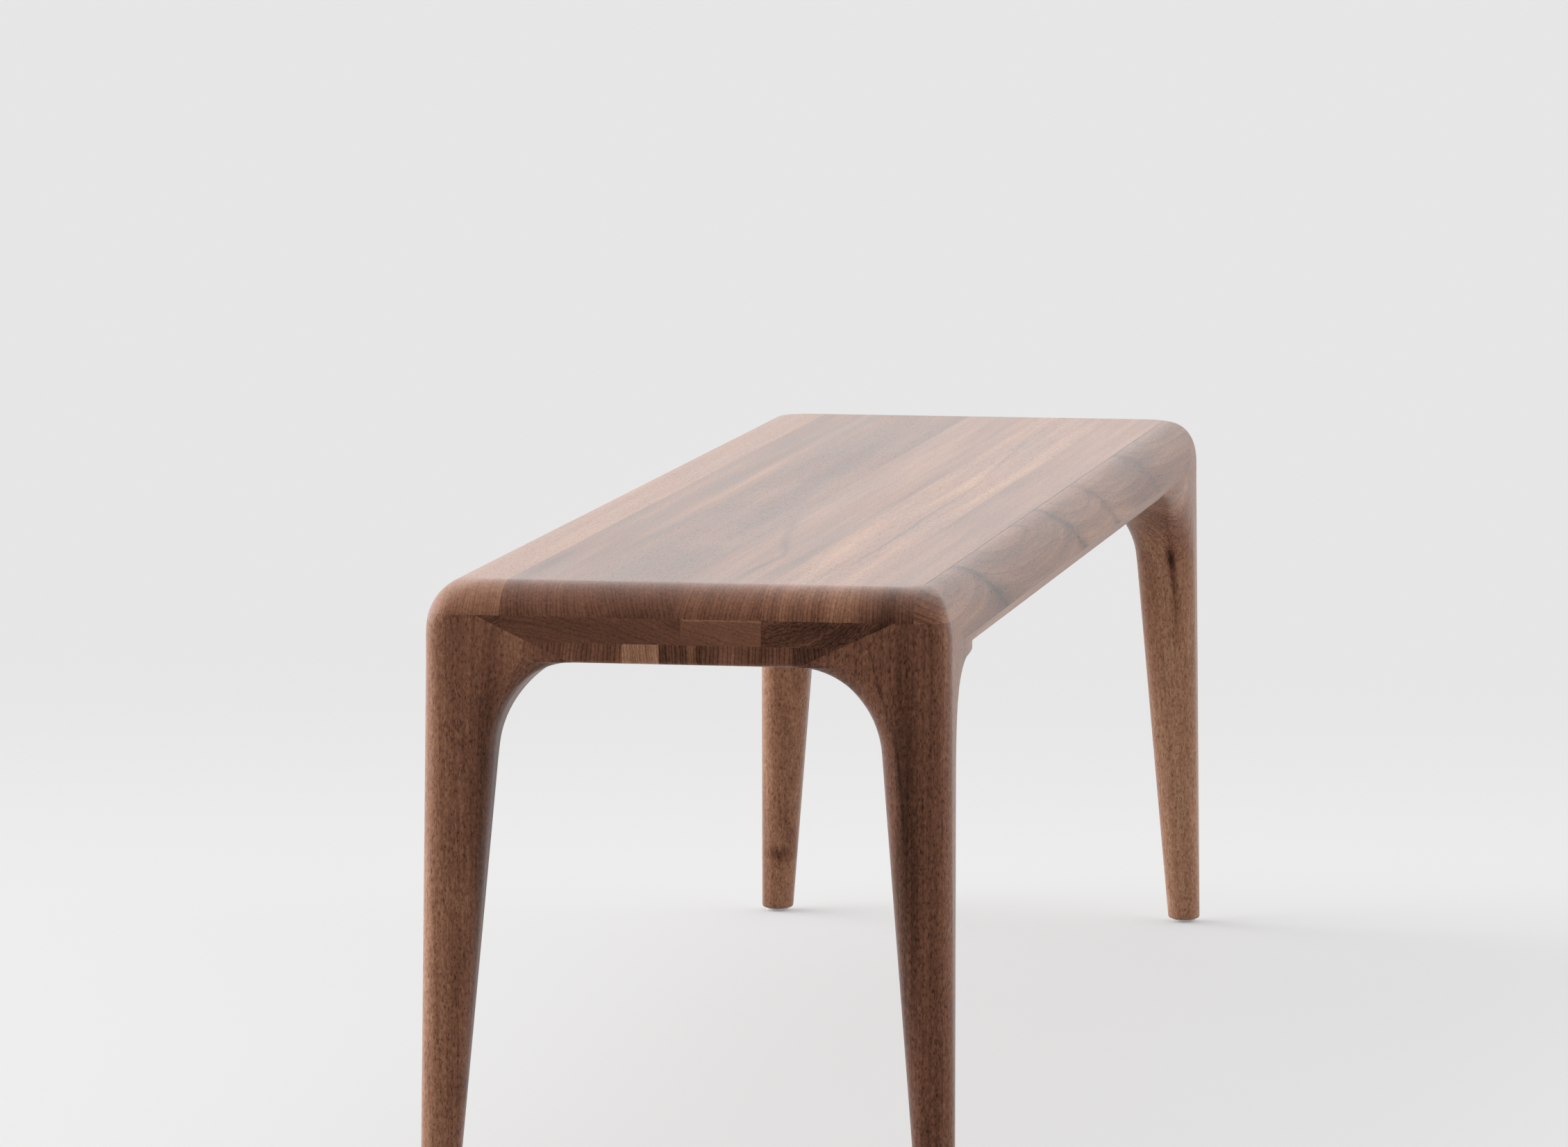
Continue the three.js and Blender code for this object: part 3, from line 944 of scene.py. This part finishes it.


# Figure of each piece of wood. Pith is where the rings' centre lies across the grain, from
# the middle of the piece; ring, wander and curl are in mm; tone lightens or darkens it; lip
# lightens its top edge. Marks are clouds of darker wood, and lighter ones where the last
# value is negative: the middle along and across the grain, the half length and half width,
# how far it leans across per metre along, and its strength. The long lighter mark down the
# outer edge of each near leg is painted highlight where that edge turns to a side light; on
# leg_front_left it is partly a lighter streak of the wood as well.
USUAL_FIGURE = dict(wander=5, contrast=1.0, curl=0.6)
FIGURE = {
    "top_stave_1": dict(pith=(0.4, 0.03), ring=2.4, wander=4, tone=0.12, contrast=0.6),
    "top_stave_2": dict(pith=(0.33, -0.05), ring=2.7, wander=7, tone=-0.05, contrast=0.8, marks=[
        (-0.54, 0.128, 0.1, 0.007, 0, 0.2), (-0.43, 0.108, 0.1, 0.012, 0.05, 0.08),
        (0.25, 0.093, 0.45, 0.006, 0, -0.06),
    ]),
    "top_stave_3": dict(pith=(0.28, -0.09), ring=3.0, wander=9, tone=-0.09, contrast=0.7, marks=[
        (-0.52, 0.035, 0.1, 0.016, 0, 0.1), (-0.18, 0.036, 0.16, 0.022, 0, 0.08),
        (0.18, 0.045, 0.22, 0.028, -0.03, 0.1), (-0.02, 0.06, 0.07, 0.014, -0.1, -0.08),
        (-0.4, 0.03, 0.03, 0.02, 0, -0.07),
    ]),
    "top_stave_4": dict(pith=(-0.3, -0.07), ring=2.9, wander=8, tone=0.01, contrast=0.8, marks=[
        (-0.56, -0.03, 0.09, 0.003, -0.03, 0.22), (-0.42, -0.024, 0.06, 0.003, 0.17, 0.18),
        (-0.3, -0.006, 0.08, 0.004, 0.12, 0.13), (-0.52, -0.05, 0.13, 0.005, -0.02, 0.16),
        (0, -0.052, 0.2, 0.003, 0, 0.12), (0.27, -0.02, 0.2, 0.02, 0, -0.1),
    ]),
    "top_stave_5": dict(pith=(-0.36, -0.03), ring=2.6, wander=6, tone=0.1, contrast=0.9, marks=[
        (-0.3, -0.095, 0.35, 0.0016, 0, 0.18), (0.25, -0.086, 0.2, 0.002, 0.05, 0.14),
        (-0.45, -0.066, 0.15, 0.008, 0, -0.08),
    ]),
    "top_stave_6": dict(pith=(-0.38, 0.03), ring=2.5, wander=6, tone=0.02, contrast=0.8, marks=[
        (-0.25, -0.128, 0.16, 0.012, 0, 0.1), (0.05, -0.125, 0.08, 0.01, 0.02, 0.08),
        (-0.68, -0.148, 0.04, 0.012, 0, 0.12), (-0.7, -0.155, 0.03, 0.022, 0, 0.15),
    ]),
    "front_edge_stave": dict(pith=(0.05, -0.12), ring=3.4, wander=3, tone=0.02, contrast=1.3),
    "core_stave_1": dict(pith=(0.05, 0.12), ring=3.0, wander=6, tone=-0.16, contrast=0.8, curl=3),
    "core_stave_2": dict(pith=(0.09, -0.3), ring=3.4, wander=6, tone=-0.08, contrast=0.4, curl=4),
    "core_stave_3": dict(
        pith=(-0.1, 0.32), ring=3.0, tone=0.03, contrast=0.4, curl=3, lip=0.1,
    ),
    "core_stave_4": dict(pith=(0.06, 0.08), ring=2.6, wander=7, tone=-0.17, contrast=1.0, curl=8),
    "under_stave_1": dict(pith=(0.3, 0.01), ring=2.8, tone=-0.08),
    "under_stave_2": dict(pith=(0.35, 0.03), ring=3.0, tone=0),
    "under_stave_3": dict(pith=(-0.3, 0.02), ring=2.0, tone=0.3, curl=2),
    "under_stave_4": dict(pith=(-0.3, 0.02), ring=2.6, tone=0.03, contrast=1.2, marks=[
        (0, -0.011, 2.0, 0.003, 0, 0.2), (0, 0, 2.0, 0.0012, 0, 0.12),
        (0, -0.0055, 2.0, 0.001, 0, -0.12),
    ]),
    "under_stave_5": dict(pith=(0.34, 0.01), ring=3.0, tone=-0.02, marks=[
        (0, -0.04, 2.0, 0.002, 0, 0.12),
    ]),
    "under_stave_6": dict(pith=(-0.32, 0.04), ring=2.6, tone=-0.12),
    "under_stave_7": dict(pith=(0.3, 0.05), ring=2.8, tone=0.12),
    "leg_front_left": dict(pith=(-0.1, 0.06), ring=4.2, wander=10, tone=-0.09, contrast=0.9, marks=[
        # partly painted highlight, partly a lighter streak of the wood: down the outer edge that faces
        # the fill light
        (0.25, -0.196, 0.4, 0.012, 0, -0.14),
        (0.385, -0.143, 0.03, 0.0012, 0.28, 0.22), (0.32, -0.1575, 0.04, 0.0012, 0.1, 0.22),
        (0.28, -0.166, 0.18, 0.009, 0.02, 0.17), (0.31, -0.14, 0.12, 0.01, 0.05, -0.12),
    ]),
    "leg_back_left": dict(pith=(0.08, -0.09), ring=4.0, wander=9, tone=-0.02, contrast=0.9, marks=[
        # painted highlight down the leg's outer edge, which faces the key light
        (0.2, 0.2, 0.4, 0.014, 0, -0.3),
        (0.25, 0.146, 0.17, 0.011, -0.03, 0.17), (0.2, 0.176, 0.2, 0.005, 0, -0.1),
        (0.215, 0.163, 0.02, 0.006, 0, -0.08), (0.078, 0.16, 0.012, 0.014, 0, 0.12),
    ]),
    "leg_front_right": dict(pith=(0.12, 0.07), ring=4.0, wander=9, tone=0.17, contrast=0.9, marks=[
        (0.333, -0.176, 0.007, 0.004, 0, 0.45), (0.31, -0.178, 0.04, 0.003, 0.05, 0.25),
    ]),
    "leg_back_right": dict(pith=(-0.09, -0.1), ring=4.2, wander=9, tone=0.12, contrast=0.8, marks=[
        (0.052, 0.178, 0.006, 0.01, 0, 0.3), (0.075, 0.17, 0.02, 0.005, 0.3, 0.14),
    ]),
}

# Where branches left the trunk beside the front edge: places along it at the level of the
# top, from which a crease runs down towards +X.
CREASES = [(-0.528, 1.0), (-0.117, 1.0), (0.075, 0.8), (0.330, 0.5)]
CREASE_LEAN = 2.6                     # along the edge per metre of height
CREASE_REACH, CREASE_PUSH = 0.085, 0.016    # how far off rings still bend, and how much
CREASE_STAINS = [(0.009, 0.15), (0.030, 0.12)]    # half width, strength
NEAR_END = (-0.68, -0.25, 0.12, 0.0)  # the edge is darker from one place to another

FILM_IOR = 1.5                        # an oiled satin film on the walnut
FILM_TINT = (0.42, 0.20, 0.13, 1)
SHEEN, SHEEN_ROUGHNESS = 0.16, 0.35
PORE_DEPTH, PORE_STRENGTH = 0.06 * MM, 0.8
LEG_SPECKLE, SEAT_SPECKLE = 1.7, 0.9
LIP_HEIGHT, LIP_SOFT = mm(1.1, 0.5)   # of a lightened top edge


def smudges_and_painted_highlights(g, along, across, marks):
    """Stain of a piece's marks, and the painted highlight of some on the near legs, with their outlines
    blurred by the wander of the grain.
    """
    place = g.join(along, across, 0.0)
    drift = g.noise(g.stretched(place, 9, 60, 1), 2, colour=True)
    drift = g.vector("MULTIPLY", g.vector("SUBTRACT", drift, (0.5, 0.5, 0.5)), (0.03, 0.008, 0.0))
    place = g.vector("ADD", place, drift)
    stains = []
    for x, y, length, width, lean, strength in marks:
        away = g.vector("SUBTRACT", place, (x, y, 0.0))
        a = g.vector("DOT_PRODUCT", away, (1 / length, 0.0, 0.0))
        b = g.vector("DOT_PRODUCT", away, (-lean / width, 1 / width, 0.0))
        distance = g.distance(a, b)
        stains.append(g.product(g.bell(distance, 1.0), strength))
    return g.total(*stains)


def creases(g, x, z):
    """The push and the stain of the creases: rings rise towards each and it is dark."""
    place = g.join(x, 0.0, z)
    drift = g.about(g.noise(g.stretched(place, 25, 1, 60), 2), 0.04)
    down = g.product(g.minus(z, HEIGHT), CREASE_LEAN)
    level = g.total(x, down, drift)
    pushes, stains = [], []
    for at, strength in CREASES:
        away = g.math("ABSOLUTE", g.minus(level, at))
        near = g.math("EXPONENT", g.math("DIVIDE", away, -CREASE_REACH))
        pushes.append(g.product(near, -CREASE_PUSH * strength))
        for width, stain in CREASE_STAINS:
            stains.append(g.product(g.bell(away, width), stain * strength))
    stains.append(g.fade(x, *NEAR_END))
    return g.total(*pushes), g.total(*stains)


def walnut(node, group, seed):
    """The walnut of one piece, with its own part of the tree."""
    low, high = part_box(node)
    figure = USUAL_FIGURE | FIGURE[node]
    upright = node.startswith("leg_")
    middle = [(low[i] + high[i]) / 2 for i in range(3)]
    pith_across, pith_up = figure["pith"]

    def build(g, shader):
        coordinates = g.node("ShaderNodeTexCoord").outputs["Object"]
        x, y, z = g.split(coordinates)
        face_x, _, face_z = g.split(g.node("ShaderNodeNewGeometry").outputs["True Normal"])
        if upright:
            place = g.join(z, x, y)
            pith = (0.0, middle[0] + pith_across, middle[1] + pith_up)
            end = g.math("ABSOLUTE", face_z)
        else:
            place = coordinates
            pith = (0.0, middle[1] + pith_across, middle[2] + pith_up)
            end = g.math("ABSOLUTE", face_x)
        push, stain = 0.0, 0.0
        if node == "front_edge_stave":
            push, stain = creases(g, x, z)
        elif "marks" in figure:
            # The marks' stain; on the two near legs it holds painted highlight as well.
            stain = smudges_and_painted_highlights(g, z if upright else x, y, figure["marks"])
        elif "lip" in figure:
            lip = high[2] - LIP_HEIGHT
            stain = g.fade(z, lip - LIP_SOFT, lip, 0.0, -figure["lip"])
        wood = g.node("ShaderNodeGroup", node_tree=group)
        g.feed_all(
            wood, Place=place, Facing_End=g.product(end, end), Pith=pith,
            Shift=(1.7 * seed, 0.61 * seed, 0.37 * seed),
            Ring=figure["ring"] * MM, Wander=figure["wander"] * MM,
            Curl=figure["curl"] * MM, Tone=figure["tone"], Contrast=figure["contrast"],
            Speckle=LEG_SPECKLE if upright else SEAT_SPECKLE, Push=push, Stain=stain,
        )
        colour, roughness, height = wood.outputs
        g.feed_all(shader, Base_Color=colour, Roughness=roughness, IOR=FILM_IOR)
        g.feed_all(shader, Specular_Tint=FILM_TINT)
        g.feed_all(shader, Sheen_Weight=SHEEN, Sheen_Roughness=SHEEN_ROUGHNESS)
        bump(g, shader, height, PORE_DEPTH, PORE_STRENGTH)

    return surface(f"walnut_{node}", build)


def dowel_wood():
    def build(g, shader):
        place = g.node("ShaderNodeTexCoord").outputs["Object"]
        fibre = g.noise(g.stretched(place, 900, 900, 30), 3)
        fleck = g.fade(g.noise(g.stretched(place, 1500, 1500, 260), 1), 0.60, 0.72)
        tone = g.minus(fibre, g.product(fleck, 0.25))
        stops = [(0.2, (0.36, 0.21, 0.10)), (0.5, (0.55, 0.36, 0.20)), (0.8, (0.68, 0.49, 0.31))]
        roughness = g.fade(fibre, 0.2, 0.8, 0.6, 0.75)
        g.feed_all(shader, Base_Color=g.ramp(tone, stops), Roughness=roughness)
        bump(g, shader, fibre, 0.05 * MM)
    return surface("beech_dowel", build)


def nylon():
    def build(g, shader):
        place = g.node("ShaderNodeTexCoord").outputs["Object"]
        grain = g.noise(g.stretched(place, 2600, 2600, 2600), 2)
        scuff = g.fade(g.noise(g.stretched(place, 220, 900, 500), 3), 0.56, 0.72)
        dirt = g.noise(g.stretched(place, 140, 140, 140), 3)
        stops = [(0.3, (0.50, 0.49, 0.47)), (0.7, (0.66, 0.65, 0.62))]
        roughness = g.total(0.42, g.product(scuff, 0.25))
        g.feed_all(shader, Base_Color=g.ramp(dirt, stops), Roughness=roughness)
        bump(g, shader, g.minus(grain, scuff), 0.03 * MM)
    return surface("moulded_nylon", build)


def metal(name, dark, light, roughness, turned):
    def build(g, shader):
        place = g.node("ShaderNodeTexCoord").outputs["Object"]
        lathe_marks = g.noise(g.stretched(place, 60, 60, turned), 2)
        stain = g.noise(g.stretched(place, 420, 420, 420), 3)
        colour = g.ramp(stain, [(0.3, dark), (0.7, light)])
        dulled = g.total(roughness, g.product(stain, 0.2))
        g.feed_all(shader, Base_Color=colour, Metallic=1.0, Roughness=dulled)
        bump(g, shader, lathe_marks, 0.02 * MM)
    return surface(name, build)


# ---- Studio -----------------------------------------------------------------------------

FLOOR_REACH = 60.0
FLOOR_GREY = (0.36, 0.36, 0.36, 1)
# The floor glows: painted light that lifts the shade under and around the bench, strongest about the
# bench and fading beyond it and towards the camera.
FLOOR_GLOW = (-0.5, 2.5, 0.35, 0.245)       # from one x to another, and its strength there
FLOOR_GLOW_START = (-2.6, -1.1, 0.1, 1.0)   # it comes up ahead of the camera

# Soft lobes of the surround: the way each lies, the cosines from it where the light starts
# and is full, and its least and greatest strength.
LOBES = [
    ((0.70, 0.42, 0.58), -0.45, 0.80, 0.02, 1.38),    # above and beyond the far end
    ((0.0, 0.97, 0.22), 0.62, 0.97, 0.0, 4.2),        # key, off the back edge
    ((-0.05, -0.98, 0.12), 0.62, 0.97, 0.0, 1.9),     # fill, off the front edge
]

CAMERA_PLACE = (-6.3831, -1.1035, 1.1080)
CAMERA_TURN, CAMERA_TILT = 10.2687, 6.3831    # degrees left of +X, and down
SENSOR_MM, LENS_MM = 36, 185.91
CAMERA_RANGE = 200


def studio_floor():
    r = FLOOR_REACH
    floor = new_object("studio_floor", [(-r, -r, 0), (r, -r, 0), (r, r, 0), (-r, r, 0)], [(0, 1, 2, 3)])

    def build(g, shader):
        x, _, _ = g.split(g.node("ShaderNodeTexCoord").outputs["Object"])
        g.feed_all(shader, Base_Color=FLOOR_GREY, Roughness=1.0, Specular_IOR_Level=0.0)
        # painted light: the floor's own glow, which softens the bench's shadow on it
        glow = g.product(g.fade(x, *FLOOR_GLOW), g.fade(x, *FLOOR_GLOW_START))
        g.feed_all(shader, Emission_Color=(1.0, 1.0, 1.0, 1), Emission_Strength=glow)
    floor.data.materials.append(surface("studio_paper", build))


def studio_light():
    """A bright surround that is lightest beyond the bench and on its two sides, and dim
    behind the camera, so faces turned to the camera stay rich and grazing ones go pale."""
    world = bpy.data.worlds.new("studio")
    bpy.context.scene.world = world
    world.use_nodes = True
    world.node_tree.nodes.clear()
    g = Graph(world.node_tree)
    toward = g.vector("NORMALIZE", g.node("ShaderNodeTexCoord").outputs["Generated"])
    lights = []
    for way, *falloff in LOBES:
        nearness = g.vector("DOT_PRODUCT", toward, Vector(way).normalized())
        lights.append(g.fade(nearness, *falloff))
    background = g.node("ShaderNodeBackground", (1.0, 1.0, 1.0, 1), g.total(*lights))
    output = g.node("ShaderNodeOutputWorld")
    g.tree.links.new(background.outputs[0], output.inputs["Surface"])


def camera():
    """A long lens a little above the seat, off the left end."""
    turn, tilt = math.radians(CAMERA_TURN), math.radians(CAMERA_TILT)
    data = bpy.data.cameras.new("camera")
    data.sensor_width = SENSOR_MM
    data.lens = LENS_MM
    data.clip_end = CAMERA_RANGE
    obj = place_object("camera", data)
    obj.location = CAMERA_PLACE
    obj.rotation_euler = (math.pi / 2 - tilt, 0, turn - math.pi / 2)
    bpy.context.scene.camera = obj


# ---- Assembly ---------------------------------------------------------------------------

def finish_piece(piece, node, body, material):
    piece.data.materials.clear()
    piece.data.materials.append(material)
    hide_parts(node)
    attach(piece, body)


def assemble():
    group = walnut_group()
    for seed, (node, piece) in enumerate(wooden_pieces().items()):
        finish_piece(piece, node, "bench", walnut(node, group, seed + 1))
    beech, plastic = dowel_wood(), nylon()
    brass = metal("turned_brass", (0.42, 0.27, 0.09), (0.78, 0.57, 0.25), 0.28, 3000)
    zinc = metal("zinc_plate", (0.40, 0.42, 0.45), (0.70, 0.71, 0.73), 0.26, 2200)
    for node in dowel_nodes():
        finish_piece(fluted_dowel(node), node, "bench", beech)
    for corner in CORNERS:
        finish_piece(threaded_insert(corner), f"insert_{corner}", "bench", brass)
        finish_piece(glide_stud(corner), f"glide_stud_{corner}", f"stud_{corner}", zinc)
        finish_piece(glide_pad(corner), f"glide_pad_{corner}", f"pad_{corner}", plastic)


assemble()
studio_floor()
studio_light()
camera()
bpy.context.scene.view_settings.view_transform = "Standard"
